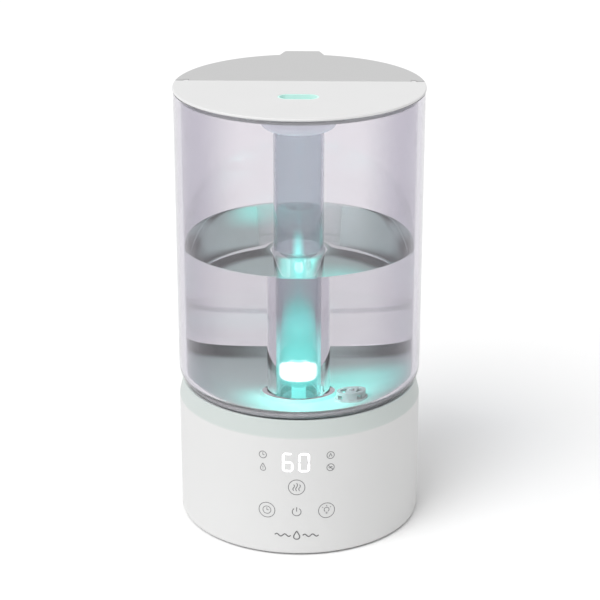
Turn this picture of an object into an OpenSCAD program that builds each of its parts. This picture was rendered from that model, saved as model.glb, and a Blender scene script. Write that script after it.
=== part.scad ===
// Cool mist humidifier with a clear top-fill tank, in millimetres.
// +Z is up and the control panel faces -Y. The origin is on the body's axis, on the
// surface that the feet stand on.

/* [Body] */
// Outside diameter of the base and the tank
body_d = 170; // [150:1:205]
// Height from the feet to the top of the lid
overall_h = 310.8; // [290:0.1:375]

/* [Base] */
// Height of the base, up to its rim
base_h = 100.5; // [96:0.5:122]
// Thickness of the base's wall
base_wall = 2.8; // [2:0.1:3.4]
// Height of the sloping shoulder above the straight wall
shoulder_h = 12; // [8:0.5:15]
// How far the shoulder leans in
shoulder_in = 2.7; // [1.5:0.1:3.5]
// Width of the rim's level top
rim_w = 1.5; // [1:0.1:2.5]
// How far the tank sits down inside the rim
recess_depth = 4.5; // [3:0.1:6]
// Rounding of the wall's bottom edge
base_edge_r = 1.8; // [0.5:0.1:2.5]
// Gap between the wall's bottom edge and the ground
base_gap = 1; // [0.5:0.1:1.5]
// Thickness of the bottom cover
cover_t = 3; // [2.5:0.1:4]
// Height of the foot ring
foot_h = 2.6; // [2.4:0.1:3.5]
// Width of the foot ring
foot_w = 6.5; // [4:0.5:8]
// Depth of the foot ring's groove in the cover
foot_groove = 0.6; // [0.4:0.1:1]
// Distance of the cover screws from the axis
screw_circle_r = 66; // [60:0.5:67]
// Diameter of the cover screws' shanks
screw_d = 3; // [2.5:0.1:3.5]

/* [Water tray] */
// Thickness of the tray's deck
tray_t = 3; // [2.5:0.1:4]
// Wall of the wells in the tray
well_wall = 2.5; // [2:0.1:3]
// Radius of the mist well
well_r = 34; // [31:0.5:38]
// Depth of the mist well below the deck
well_depth = 32; // [28:0.5:36]
// Radius of the supply well under the tank's valve
supply_r = 15; // [13.5:0.5:17]
// Depth of the supply well below the deck
supply_depth = 18; // [15:0.5:22]
// Diameter of the ultrasonic disc
disc_d = 20; // [16:0.5:25]
// Thickness of the ultrasonic disc
disc_t = 1.1; // [0.8:0.1:1.5]

/* [Float] */
// Diameter of the level float
float_d = 13; // [10:0.5:14]
// Height of the level float
float_h = 8; // [6:0.5:10]
// How far the float rises
float_travel = 8; // [5:0.5:9]
// Diameter of the float's post
float_post_d = 3; // [2:0.1:3.5]

/* [Air] */
// Side of the square fan
fan_side = 46; // [40:1:50]
// Thickness of the fan
fan_t = 12; // [10:1:14]
// Number of fan blades
fan_blades = 7; // [5:1:9]
// Diameter of the fan's shaft
fan_shaft_d = 3; // [2:0.1:4]
// Width of the rear air intake
vent_w = 50; // [36:1:56]
// Height of the rear air intake
vent_h = 36; // [24:1:38]
// Width of the air duct's mouth
duct_w = 26; // [18:1:28]
// Height of the air duct's mouth
duct_h = 6.6; // [5:0.2:7]

/* [Light] */
// Width of the light guide's glowing head
glow_w = 22; // [16:0.5:23]
// Height of the light guide's glowing head
glow_h = 12; // [8:0.5:14]
// Thickness of the light guide
glow_t = 3.5; // [2.5:0.1:4]
// Height of the light guide's head above the tank floor
glow_rise = 21; // [16:0.5:26]

/* [Tank] */
// Thickness of the tank's clear wall and floor
tank_wall = 5; // [3.5:0.1:6]
// Outside radius of the tank's lower corner
tank_corner_r = 16; // [13:0.5:20]
// Outside diameter of the mist pipe
pipe_d = 34; // [31:0.5:41]
// Wall of the mist pipe
pipe_wall = 2; // [1.5:0.1:2.2]
// How far the pipe and the mist well are forward of the axis
pipe_forward = 22; // [18:0.5:24]
// How far the pipe reaches below the tank's floor
pipe_drop = 6; // [4.5:0.5:7]

/* [Valve] */
// Sideways gap between the mist pipe and the valve's barrel
valve_gap = 5.2; // [4.6:0.1:7]
// Distance of the valve forward of the axis
valve_forward = 34; // [31:0.5:37]
// Diameter of the valve's barrel
valve_d = 17.6; // [15:0.2:21.2]
// Travel of the valve's plunger
valve_travel = 4.5; // [3:0.5:5]
// Diameter of the plunger's stem
stem_d = 3; // [2:0.1:3.5]

/* [Lid] */
// Thickness of the lid's edge
lid_t = 1.8; // [1.6:0.1:2.6]
// How far the lid's edge stands out past the tank
lid_overhang = 0.4; // [0:0.1:1.5]
// How far the joint between the lid's halves is behind the axis
split_back = 9.5; // [7:0.5:16]
// Outside radius of the lid's skirt below the tank's mouth
skirt_inset = 4.5; // [3:0.5:7]
// Height of the lid's skirt
skirt_h = 4; // [3.5:0.5:14]
// Radius of the rolled edge that the flap turns on
knuckle_r = 1.4; // [1.2:0.1:1.6]
// Diameter of the flap's hinge pins
hinge_pin_d = 1.2; // [1:0.1:1.4]
// Width of the flap's tab at its end
tab_w = 25; // [18:1:40]
// How far the tab reaches past the lid's edge
tab_reach = 10; // [6:0.5:16]
// Width of the mist slot
slot_w = 25; // [18:0.5:27]
// Depth of the mist slot, front to back
slot_d = 11; // [8:0.5:12]
// How far the mist slot is forward of the pipe's axis
slot_forward = 9; // [4:0.5:9.5]
// Diameter of the collar over the pipe's top
collar_d = 51; // [46:0.5:54]
// How far the collar reaches down
collar_h = 21; // [16:0.5:24]
// Wall of the collar
collar_wall = 3; // [2:0.1:4]

/* [Fits] */
// Gap between pieces that lift off each other
lift_gap = 0.4; // [0.3:0.1:0.6]
// Gap between pieces that are fixed together
seat_gap = 0.1; // [0.05:0.05:0.2]
// Radial clearance of a running shaft
shaft_gap = 0.06; // [0.03:0.01:0.1]

/* [Hidden] */
$fn = 96;
eps = 0.01;
far = 400;

// Heights and radii of the body
body_r = body_d / 2;
inner_r = body_r - base_wall;
recess_r = body_r - shoulder_in - rim_w;
shoulder_z = base_h - shoulder_h;
deck_z = base_h - recess_depth;
shelf_z = deck_z - tray_t;
shelf_t = 3;
shelf_r = recess_r - 3.3;
rim_round = 0.8;
cover_z = foot_h - foot_groove;
cover_top = cover_z + cover_t;
foot_r = inner_r - 5;
head_sink = 1.8;
boss_low = cover_top + seat_gap;
boss_r = 4;
tank_top = overall_h - lid_t;

// Socket, power board and its posts
jack_r = 4.2;
jack_z = cover_top + 5.5;
jack_bore_r = 3;
main_z = cover_top + 8;
board_t = 1.6;
board_mid = 12;
board_posts = 26;

// Wells, transducer and valve
pipe_y = -pipe_forward;
pipe_r = pipe_d / 2;
pipe_bore_r = pipe_r - pipe_wall;
well_floor = deck_z - well_depth;
well_floor_t = 3;
supply_floor = deck_z - supply_depth;
supply_floor_t = 2.5;
disc_r = disc_d / 2;
seal_r = disc_r + 1.5;
clamp_r = seal_r + 6;
clamp_t = 3;
clamp_screw_r = 1.2;
clamp_circle_r = seal_r + 3;
driver_z = well_floor - well_floor_t - 14;
driver_posts = 24;
post_r = float_post_d / 2;
float_stop = 1.5;
pin_r = 2;

// Tank floor and valve
floor_z = deck_z + tank_wall;
tank_in_r = body_r - tank_wall;
corner_in_r = tank_corner_r - tank_wall;
corner_c_r = body_r - tank_corner_r;
corner_z = deck_z + tank_corner_r;
flange_w = 3;
valve_y = -valve_forward;
valve_r = valve_d / 2;
valve_x = pipe_r + valve_gap + valve_r;
valve_bore_r = valve_r - 2.3;
valve_low = deck_z - 5;
valve_seat = valve_low + 3.5;
valve_high = floor_z + 6.5;
bridge_t = 1.5;
port_r = stem_d / 2 + 2.5;
plug_r = valve_bore_r - 1;
plug_t = 1.5;
seal_t = 1;
stem_low = valve_low - 3;
stem_r = stem_d / 2;
spring_r = stem_r + 1.9;
wire_r = 0.35;
spring_low = valve_seat + valve_travel + seal_t + plug_t;
spring_high = valve_high - bridge_t;

// Fan, duct and light
fan_z = cover_top + 30 + fan_side / 2;
fan_y = pipe_y + well_r + well_wall + 27;
fan_bore_r = fan_side / 2 - 2;
blade_r = fan_bore_r - 0.8;
hub_r = 9;
boss_t = 2;
fan_hole = fan_side / 2 - 4;
duct_flange_t = 3.3;
duct_front = pipe_y + well_r + well_wall + seat_gap;
duct_wall = 1.6;
duct_z = shelf_z - seat_gap - duct_wall - duct_h / 2;
glow_y = pipe_y + 5;
glow_top = floor_z + glow_rise;
arm_z = deck_z - pipe_drop - 5.5;
arm_t = 3;
wall_x = sqrt(pow(well_r + well_wall, 2) - pow(5, 2));
vent_z = cover_top + 17;

// Lid
lid_r = body_r + lid_overhang;
flange_r = tank_in_r - 0.6;
skirt_r = tank_in_r - skirt_inset;
skirt_wall = 3;
lip_t = 1.8;
hinge_y = split_back + lift_gap + knuckle_r;
hinge_z = overall_h - knuckle_r;
flap_low = tank_top + 0.15;
lug_w = 3;
lug_x = tank_in_r - 1.5 - lug_w;
slot_y = pipe_y - slot_forward;
nozzle_wall = 1.2;
collar_low = tank_top - collar_h;
collar_round = 5;
collar_bore_r = collar_d / 2 - collar_wall;
pipe_top = collar_low + 10;

// Front panel, which the display and the touch pads sit behind
board_y = -(inner_r - 7.2);
panel_w = 60;
digits_z = shoulder_z - 17.6;
sign_x = 23.2;
pad_r = 4;
pads = [[-20.6, 34], [0, 34], [20.6, 34], [0, 52.3]];

// ---- shapes that repeat ----

// Points of an arc, from one angle to another
function arc(cx, cy, r, a0, a1, steps = 8) =
    [for (i = [0 : steps]) let (a = a0 + (a1 - a0) * i / steps) [cx + r * cos(a), cy + r * sin(a)]];

// A tube standing on z
module tube(r_out, r_in, z, h) {
    translate([0, 0, z]) difference() {
        cylinder(r = r_out, h = h);
        translate([0, 0, -1]) cylinder(r = r_in, h = h + 2);
    }
}

// A block given by its middle in x, its front, its bottom and its three sizes
module block(x, y, z, size) {
    translate([x - size[0] / 2, y, z]) cube(size);
}

// A cylinder along X or along Y, from a starting point
module rod_x(x, y, z, r, h) {
    translate([x, y, z]) rotate([0, 90, 0]) cylinder(r = r, h = h);
}
module rod_y(x, y, z, r, h) {
    translate([x, y, z]) rotate([-90, 0, 0]) cylinder(r = r, h = h);
}

// An oblong with round ends, w wide and d deep
module oblong(w, d, h) {
    union() {
        for (s = [-1, 1]) translate([s * (w - d) / 2, 0, 0]) cylinder(r = d / 2, h = h);
        translate([-(w - d) / 2, -d / 2, 0]) cube([w - d, d, h]);
    }
}

// Places something at the four corners of a square of half side s
module at_corners(s) {
    for (x = [-s, s], y = [-s, s]) translate([x, y, 0]) children();
}

// A screw with a round head, its head's underside at z = 0, pointing up
module screw(r, head_r, head_t, h) {
    union() {
        cylinder(r = r, h = h);
        translate([0, 0, -head_t]) cylinder(r = head_r, h = head_t);
    }
}

// A sector of a ring at the rear wall, w wide and h high
module rear_panel(r_out, r_in, w, z, h) {
    intersection() {
        tube(r_out, r_in, z, h);
        block(0, 0, z, [w, far, h]);
    }
}

// ---- base ----

// Outer housing: straight wall, sloping shoulder, rim and the shelf for the tray
module base_shell() {
    low = shelf_z - shelf_t;
    out = body_r - shoulder_in;
    profile = concat(
        arc(body_r - base_edge_r, base_gap + base_edge_r, base_edge_r, -90, 0, 5),
        [[body_r, shoulder_z]],
        arc(out - rim_round, base_h - rim_round, rim_round, 15, 90, 3),
        [[recess_r, base_h], [recess_r, shelf_z], [shelf_r, shelf_z], [shelf_r, low],
         [inner_r, low - (inner_r - shelf_r)], [inner_r, base_gap]]
    );
    color("white") difference() {
        rotate_extrude() polygon(profile);
        block(0, 0, vent_z, [vent_w, far, vent_h]);
        rod_y(0, inner_r - 10, jack_z, jack_r + seat_gap, 20);
    }
}

// Bottom cover with its foot groove, screw holes and board posts
module bottom_cover() {
    color("whitesmoke") difference() {
        union() {
            translate([0, 0, cover_z]) cylinder(r = inner_r - 2 * seat_gap, h = cover_t);
            translate([0, -board_mid, 0]) at_corners(board_posts)
                translate([0, 0, cover_top - eps]) cylinder(r = 2.5, h = main_z - cover_top + eps);
        }
        tube(foot_r, foot_r - foot_w, cover_z - 1, foot_groove + 1);
        at_corners(screw_circle_r * cos(45)) {
            translate([0, 0, cover_z - 1]) cylinder(r = screw_d / 2 + 0.2, h = cover_t + 2);
            translate([0, 0, cover_z - 1]) cylinder(r = screw_d + 0.3, h = 1 + head_sink);
        }
    }
}

// Soft ring that the base stands on
module foot_ring() {
    color("dimgray") tube(foot_r - seat_gap, foot_r - foot_w + seat_gap, 0, foot_h);
}

// Four screws through the cover into the tray's long bosses
module cover_screws() {
    color("silver") at_corners(screw_circle_r * cos(45))
        translate([0, 0, cover_z + head_sink]) screw(screw_d / 2, screw_d, head_sink - 0.3, 14);
}

// Air intake: a slotted panel in the rear wall with a flange behind it
module vent_grille() {
    rows = floor(vent_h / 4) - 1;
    first = vent_z + (vent_h - (rows - 1) * 4) / 2;
    color("gainsboro") difference() {
        union() {
            rear_panel(body_r - 0.2, inner_r - 1, vent_w - 2 * seat_gap,
                       vent_z + seat_gap, vent_h - 2 * seat_gap);
            rear_panel(inner_r - seat_gap, inner_r - 1.8, vent_w + 6, vent_z - 3, vent_h + 6);
        }
        for (i = [0 : rows - 1])
            block(0, 0, first + i * 4 - 0.9, [vent_w - 8, far, 1.8]);
    }
}

// Foam dust filter behind the grille
module vent_filter() {
    color("slategray") rear_panel(inner_r - 1.9, inner_r - 5, vent_w, vent_z - 1, vent_h + 2);
}

// Socket for the power lead, with its centre pin
module dc_jack() {
    face = sqrt(pow(inner_r, 2) - pow(5.5, 2)) - seat_gap;
    color("dimgray") union() {
        difference() {
            union() {
                block(0, face - 12, cover_top + seat_gap, [11, 12, 10.5]);
                rod_y(0, face - eps, jack_z, jack_r, inner_r - face + base_wall - 0.4);
            }
            rod_y(0, face - 8, jack_z, jack_bore_r, 20);
        }
        rod_y(0, face - 9, jack_z, 1, 9);
    }
}

// Power board on the cover's posts, with its capacitor, coil, plugs and buzzer
module main_board() {
    top = main_z + board_t;
    color("darkgreen") translate([0, -board_mid, 0]) union() {
        block(0, -30, main_z, [60, 60, board_t]);
        translate([-16, 12, top - eps]) cylinder(r = 5, h = 14);
        translate([-4, 14, top - eps]) cylinder(r = 3.2, h = 11);
        translate([14, 10, top - eps]) cylinder(r = 6, h = 8);
        translate([16, -14, top - eps]) cylinder(r = 4.5, h = 5);
        block(-14, -12, top - eps, [12, 12, 2]);
        for (x = [-12, 0, 12]) block(x, 23, top - eps, [8, 5, 6]);
    }
}

// Control board behind the front wall
module control_board() {
    low = pads[0][1] - 9;
    color("darkgreen") union() {
        block(0, board_y, low, [panel_w, board_t, shoulder_z - 4 - low]);
        block(-16, board_y + board_t - eps, 44, [8, 2, 8]);
        block(18, board_y + board_t - eps, 36, [10, 5, 6]);
    }
}

// Light box of the two figures and the four small signs
module display_module() {
    front = board_y - 5.6;
    color("lightgray") difference() {
        union() {
            block(0, front, digits_z - 9, [25, 5.6 - seat_gap, 18]);
            for (x = [-sign_x, sign_x], z = [-4.7, 4.4])
                block(x, board_y - 2.3, digits_z + z - 3.4, [6.8, 2.3 - seat_gap, 6.8]);
        }
        for (x = [-10.4, 1]) block(x + 4.7, front - 1, digits_z - 7.5, [9.4, 4, 15]);
    }
}

// Touch contacts that press on the inside of the front wall
module touch_springs() {
    color("silver") for (p = pads) {
        touch = sqrt(pow(inner_r, 2) - pow(abs(p[0]) + pad_r, 2)) - seat_gap;
        rod_y(p[0], -touch, p[1], pad_r, touch + board_y - seat_gap);
    }
}

// Humidity sensor in the air that the fan draws in
module humidity_sensor() {
    color("darkgreen") union() {
        block(vent_w / 2 - 8, inner_r - 13, vent_z + vent_h - 12, [12, board_t, 14]);
        block(vent_w / 2 - 8, inner_r - 13 + board_t - eps, vent_z + vent_h - 8, [5, 1.4, 5]);
    }
}

// ---- water tray and mist maker ----

// The two wells, grown outwards by some amount
module wells(grow, drop) {
    translate([0, pipe_y, well_floor - drop]) cylinder(r = well_r + grow, h = far);
    translate([valve_x, valve_y, supply_floor - drop * supply_floor_t / well_floor_t])
        cylinder(r = supply_r + grow, h = far);
}

// Deck that the tank stands on, with the mist well, the supply well and the screw bosses
module water_tray() {
    color("white") difference() {
        union() {
            translate([0, 0, shelf_z]) cylinder(r = recess_r - 2 * seat_gap, h = tray_t);
            intersection() {
                wells(well_wall, well_floor_t);
                cylinder(r = recess_r - 2 * seat_gap, h = shelf_z + 1);
            }
            block(0, pipe_y + well_r - 4, duct_z - duct_h / 2 - duct_wall,
                  [duct_w + 4, 4 + well_wall, duct_h + 2 * duct_wall + 1]);
            at_corners(screw_circle_r * cos(45))
                translate([0, 0, boss_low]) cylinder(r = boss_r, h = shelf_z - boss_low + 1);
            translate([0, pipe_y, driver_z + board_t]) at_corners(driver_posts)
                cylinder(r = 2.5, h = well_floor - 1 - driver_z - board_t);
        }
        wells(0, 0);
        translate([0, pipe_y, well_floor - 5]) cylinder(r = seal_r, h = 6);
        block(0, pipe_y + well_r - 10, duct_z - duct_h / 2, [duct_w, 20, duct_h]);
        block(wall_x, glow_y - seat_gap, arm_z - seat_gap,
              [12, glow_t + 2 * seat_gap, arm_t + 2 * seat_gap]);
        at_corners(screw_circle_r * cos(45))
            translate([0, 0, boss_low - 1]) cylinder(r = screw_d / 2 + 0.05, h = 16);
        translate([0, pipe_y, well_floor - well_floor_t - 1]) clamp_places()
            cylinder(r = clamp_screw_r + 0.05, h = 3);
        float_place() translate([0, 0, well_floor - 2]) cylinder(r = post_r, h = 3);
        translate([valve_x, valve_y, supply_floor - 2]) cylinder(r = pin_r, h = 3);
    }
}

// Three places round the transducer
module clamp_places() {
    for (a = [30, 150, 270]) rotate([0, 0, a]) translate([clamp_circle_r, 0, 0]) children();
}

// Place of the float, at the front left of the mist well
module float_place() {
    translate([-12, pipe_y - 24, 0]) children();
}

// Ultrasonic disc, held in its rubber seal
module transducer_disc() {
    color("khaki") translate([0, pipe_y, well_floor - 2]) cylinder(r = disc_r, h = disc_t);
}

// Rubber ring with a groove for the disc
module transducer_seal() {
    bottom = well_floor - well_floor_t;
    color("dimgray") translate([0, pipe_y, 0]) difference() {
        tube(seal_r, disc_r - 1.6, bottom, well_floor_t);
        translate([0, 0, well_floor - 2]) cylinder(r = disc_r, h = disc_t);
    }
}

// Metal ring that clamps the seal up and cools the disc
module transducer_clamp() {
    color("silver") translate([0, pipe_y, 0]) difference() {
        tube(clamp_r, disc_r - 4, well_floor - well_floor_t - clamp_t, clamp_t);
        translate([0, 0, well_floor - well_floor_t - clamp_t - 1]) clamp_places()
            cylinder(r = clamp_screw_r + 0.1, h = clamp_t + 2);
    }
}

// Three screws of the clamp
module clamp_screws() {
    color("silver") translate([0, pipe_y, well_floor - well_floor_t - clamp_t]) clamp_places()
        screw(clamp_screw_r, 2.2, 1.4, clamp_t + 1.8);
}

// Board that drives the ultrasonic disc
module driver_board() {
    color("darkgreen") translate([0, pipe_y, 0]) union() {
        block(0, -28, driver_z, [56, 56, board_t]);
        translate([-14, 6, driver_z - 8]) cylinder(r = 5, h = 8 + eps);
        translate([-14, -8, driver_z - 10]) cylinder(r = 4, h = 10 + eps);
        block(-16, -22, driver_z - 6, [10, 6, 6 + eps]);
    }
}

// Finned heat sink of the driver's transistor
module heat_sink() {
    low = driver_z - 12;
    color("silver") translate([0, pipe_y, 0]) union() {
        block(14, -16, driver_z - 2.5, [18, 24, 2.5 - seat_gap]);
        for (i = [0 : 5]) block(6.2 + i * 3.12, -16, low, [1.2, 24, 10]);
    }
}

// Clear light guide: an arm from the side of the well and a head inside the pipe
module light_guide() {
    neck = 12;
    color("paleturquoise") union() {
        translate([0, glow_y + glow_t, glow_top - glow_h / 2]) rotate([90, 0, 0])
            oblong(glow_w, glow_h, glow_t);
        block(0, glow_y, arm_z, [neck, glow_t, glow_top - glow_h / 2 - arm_z]);
        translate([0, glow_y, arm_z]) cube([wall_x + 0.5, glow_t, arm_t]);
    }
}

// Small board with the coloured lamps, outside the well
module light_board() {
    color("darkgreen") union() {
        translate([wall_x + 2.2, glow_y - 0.4, arm_z - 8]) cube([board_t, 11, 14]);
        translate([wall_x + 0.6, glow_y, arm_z]) cube([1.6 + eps, glow_t, arm_t]);
    }
}

// Ring float that slides on its post
module level_float() {
    color("white") float_place()
        tube(float_d / 2, post_r + shaft_gap, well_floor + float_stop, float_h);
}

// Post of the float, with a foot to rest on and a cap that stops it
module float_post() {
    top = well_floor + float_stop + float_h + float_travel + 0.3;
    color("gainsboro") float_place() union() {
        translate([0, 0, well_floor - 2]) cylinder(r = post_r, h = top - well_floor + 2 + eps);
        translate([0, 0, well_floor]) cylinder(r = post_r + 1.5, h = float_stop - 0.1);
        translate([0, 0, top]) cylinder(r = post_r + 1.2, h = 1.2);
    }
}

// Pin that lifts the valve's plunger when the tank stands on the base
module valve_push_pin() {
    color("white") translate([valve_x, valve_y, supply_floor - 2])
        cylinder(r = pin_r, h = stem_low - 0.1 - supply_floor + 2);
}

// ---- fan and duct ----

// Square frame, round bore and the bearing boss on four struts
module fan_housing() {
    back = fan_y + fan_t;
    color("dimgray") difference() {
        union() {
            difference() {
                block(0, fan_y, fan_z - fan_side / 2, [fan_side, fan_t, fan_side]);
                rod_y(0, fan_y - 1, fan_z, fan_bore_r, fan_t + 2);
            }
            rod_y(0, back - boss_t, fan_z, hub_r + 0.5, boss_t);
            for (a = [45, 135]) translate([0, back - boss_t, fan_z]) rotate([0, a, 0])
                translate([-fan_bore_r - 1.2, 0, -1.5])
                    cube([2 * fan_bore_r + 2.4, boss_t - 0.2, 3]);
        }
        rod_y(0, back - boss_t - 1, fan_z, fan_shaft_d / 2 + shaft_gap, boss_t + 2);
        fan_corners(fan_y - 1) cylinder(r = 1.7, h = fan_t + 2);
    }
}

// Places something along Y at the fan's four screw holes
module fan_corners(y) {
    for (x = [-fan_hole, fan_hole], z = [-fan_hole, fan_hole])
        translate([x, y, fan_z + z]) rotate([-90, 0, 0]) children();
}

// Hub, slanted blades and shaft
module fan_rotor() {
    front = fan_y + 1;
    depth = fan_t - boss_t - 1.6;
    color("gray") union() {
        rod_y(0, front, fan_z, hub_r, depth);
        rod_y(0, front + 1, fan_z, fan_shaft_d / 2, fan_t - 1 - 1);
        for (i = [0 : fan_blades - 1]) translate([0, front + depth / 2, fan_z])
            rotate([0, i * 360 / fan_blades, 0]) translate([hub_r - 1, 0, 0]) rotate([35, 0, 0])
                translate([0, -(depth - 1) / 2, -0.6]) cube([blade_r - hub_r, depth - 1, 1.2]);
    }
}

// Four long screws from the fan into the duct
module fan_screws() {
    color("silver") for (x = [-fan_hole, fan_hole], z = [-fan_hole, fan_hole])
        translate([x, fan_y + fan_t, fan_z + z]) rotate([90, 0, 0])
            screw(1.5, 2.8, 1.6, fan_t + duct_flange_t - 0.4);
}

// A thin upright rectangle for the duct's ends
module duct_end(y, z, w, h) {
    block(0, y, z - h / 2, [w, eps, h]);
}

// Tapered duct from the fan to the window of the mist well
module air_duct() {
    back = fan_y - seat_gap;
    color("gainsboro") difference() {
        union() {
            block(0, back - duct_flange_t, fan_z - fan_side / 2,
                  [fan_side, duct_flange_t, fan_side]);
            hull() {
                duct_end(back - duct_flange_t, fan_z, 2 * fan_bore_r + 1, 2 * fan_bore_r + 1);
                duct_end(duct_front, duct_z, duct_w + 2 * duct_wall, duct_h + 2 * duct_wall);
            }
        }
        hull() {
            duct_end(back + eps, fan_z, 2 * fan_bore_r - 3, 2 * fan_bore_r - 3);
            duct_end(duct_front - 2 * eps, duct_z, duct_w, duct_h);
        }
        fan_corners(back - duct_flange_t - 1) cylinder(r = 1.55, h = duct_flange_t + 2);
    }
}

// ---- tank ----

// Clear tank: floor, round lower corner and straight wall in one moulding
module tank_shell() {
    profile = concat(
        [[0, deck_z]],
        arc(corner_c_r, corner_z, tank_corner_r, -90, 0, 12),
        [[body_r, tank_top], [tank_in_r, tank_top]],
        arc(corner_c_r, corner_z, corner_in_r, 0, -90, 12),
        [[0, floor_z]]
    );
    color("lavender", 0.4) difference() {
        rotate_extrude() polygon(profile);
        translate([0, pipe_y, deck_z - 1]) cylinder(r = pipe_r + seat_gap, h = tank_wall + 2);
        translate([valve_x, valve_y, deck_z - 1]) cylinder(r = valve_r + seat_gap, h = tank_wall + 2);
    }
}

// Clear pipe that leads the mist up through the tank, with a flange on the floor
module mist_pipe() {
    low = deck_z - pipe_drop;
    color("lightblue", 0.5) translate([0, pipe_y, 0]) difference() {
        union() {
            translate([0, 0, low]) cylinder(r = pipe_r, h = pipe_top - low);
            translate([0, 0, floor_z]) cylinder(r = pipe_r + flange_w, h = 2.2);
        }
        translate([0, 0, low - 1]) cylinder(r = pipe_bore_r, h = pipe_top - low + 2);
    }
}

// Ring nut that holds the pipe from below
module pipe_nut() {
    color("white") translate([0, pipe_y, 0])
        tube(pipe_r + flange_w, pipe_r + seat_gap, deck_z - 3, 3 - seat_gap);
}

// Valve barrel through the tank's floor, with its seat and the bridge over the plunger
module valve_body() {
    color("white") translate([valve_x, valve_y, 0]) difference() {
        union() {
            translate([0, 0, valve_low]) cylinder(r = valve_r, h = valve_high - valve_low);
            translate([0, 0, floor_z]) cylinder(r = valve_r + 1.4, h = 1.5);
            translate([0, 0, deck_z - 2.4]) cylinder(r = valve_r + 2, h = 2.4 - seat_gap);
        }
        difference() {
            translate([0, 0, valve_seat]) cylinder(r = valve_bore_r, h = far);
            translate([-1.5 - stem_r, -20, valve_high - bridge_t]) cube([3 + 2 * stem_r, 40, bridge_t]);
        }
        for (a = [45, 135]) rotate([0, 0, a])
            translate([-20, -2, floor_z + 1.5]) cube([40, 4, valve_high - bridge_t - floor_z - 2]);
        translate([0, 0, valve_low - 1]) cylinder(r = port_r, h = 10);
        translate([0, 0, valve_low]) cylinder(r = stem_r + shaft_gap, h = far);
    }
}

// Spring-loaded plunger, shown lifted open by the push pin
module valve_plunger() {
    plug = valve_seat + valve_travel + seal_t;
    color("lightgray") translate([valve_x, valve_y, 0]) union() {
        translate([0, 0, stem_low]) cylinder(r = stem_r, h = valve_high + 1 - stem_low);
        translate([0, 0, plug]) cylinder(r = plug_r, h = plug_t);
    }
}

// Rubber washer under the plug
module valve_seal() {
    color("dimgray") translate([valve_x, valve_y, 0])
        tube(plug_r, stem_r, valve_seat + valve_travel, seal_t);
}

// Closing spring between the plug and the bridge
module valve_spring() {
    turns = 4;
    steps = 14;
    sides = 6;
    rise = spring_high - spring_low - 2 * wire_r - 0.2;
    rings = turns * steps;
    points = [for (i = [0 : rings], j = [0 : sides - 1])
        let (a = 360 * i / steps, b = 360 * j / sides, r = spring_r + wire_r * cos(b))
        [r * cos(a), r * sin(a), spring_low + 0.1 + wire_r + rise * i / rings + wire_r * sin(b)]];
    walls = [for (i = [0 : rings - 1], j = [0 : sides - 1])
        let (a = i * sides + j, b = i * sides + (j + 1) % sides)
        [a, a + sides, b + sides, b]];
    ends = [[for (j = [0 : sides - 1]) j], [for (j = [sides - 1 : -1 : 0]) rings * sides + j]];
    color("silver") translate([valve_x, valve_y, 0]) polyhedron(points, concat(walls, ends));
}

// ---- lid ----

// Profile of the lid's edge, rounded above and below
module lid_disc(low) {
    edge = 0.7;
    rotate_extrude() polygon(concat(
        [[0, low], [lid_r - 0.4, low], [lid_r, low + 0.4]],
        arc(lid_r - edge, overall_h - edge, edge, 0, 90, 5),
        [[0, overall_h]]
    ));
}

// The flap's hinge line, as a rod of some radius over some width
module hinge_rod(r, w) {
    rod_x(-w / 2, hinge_y, hinge_z, r, w);
}

// Two short stretches of the hinge line, at the lugs
module at_lugs(r, grow) {
    for (s = [-1, 1])
        rod_x(s * (lug_x + lug_w / 2) - lug_w / 2 - grow, hinge_y, hinge_z, r, lug_w + 2 * grow);
}

// The two pins' places, from inside the flap to each lug
module at_pins(r, longer) {
    for (m = [0, 1]) mirror([m, 0, 0])
        rod_x(lug_x - 2 * lug_w - longer, hinge_y, hinge_z, r, 3 * lug_w - 0.5 + 2 * longer);
}

// Front half of the lid, with the skirt ring, the beam under the joint and the hinge lugs
module lid_frame() {
    color("whitesmoke") difference() {
        union() {
            intersection() {
                lid_disc(tank_top);
                translate([-far / 2, split_back - far, 0]) cube([far, far, far]);
            }
            difference() {
                union() {
                    tube(flange_r, skirt_r - skirt_wall - 2.5, tank_top - lip_t, lip_t);
                    tube(skirt_r, skirt_r - skirt_wall, tank_top - skirt_h, skirt_h - lip_t);
                    intersection() {
                        translate([0, 0, tank_top - skirt_h]) cylinder(r = skirt_r - 0.5, h = skirt_h);
                        block(0, split_back - 3.5, tank_top - skirt_h, [far, 3.5, skirt_h]);
                    }
                }
                hinge_rod(knuckle_r + lift_gap, far);
            }
            at_lugs(knuckle_r, 0);
            for (s = [-1, 1])
                block(s * (lug_x + lug_w / 2), split_back - 1, hinge_z - knuckle_r,
                      [lug_w, knuckle_r + lift_gap + 1, 2 * knuckle_r]);
        }
        at_pins(hinge_pin_d / 2 + 0.02, 1);
        translate([0, slot_y, tank_top - 1]) oblong(slot_w + 2 * nozzle_wall + 2 * seat_gap,
                                                    slot_d + 2 * nozzle_wall + 2 * seat_gap, lid_t + 2);
    }
}

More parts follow.
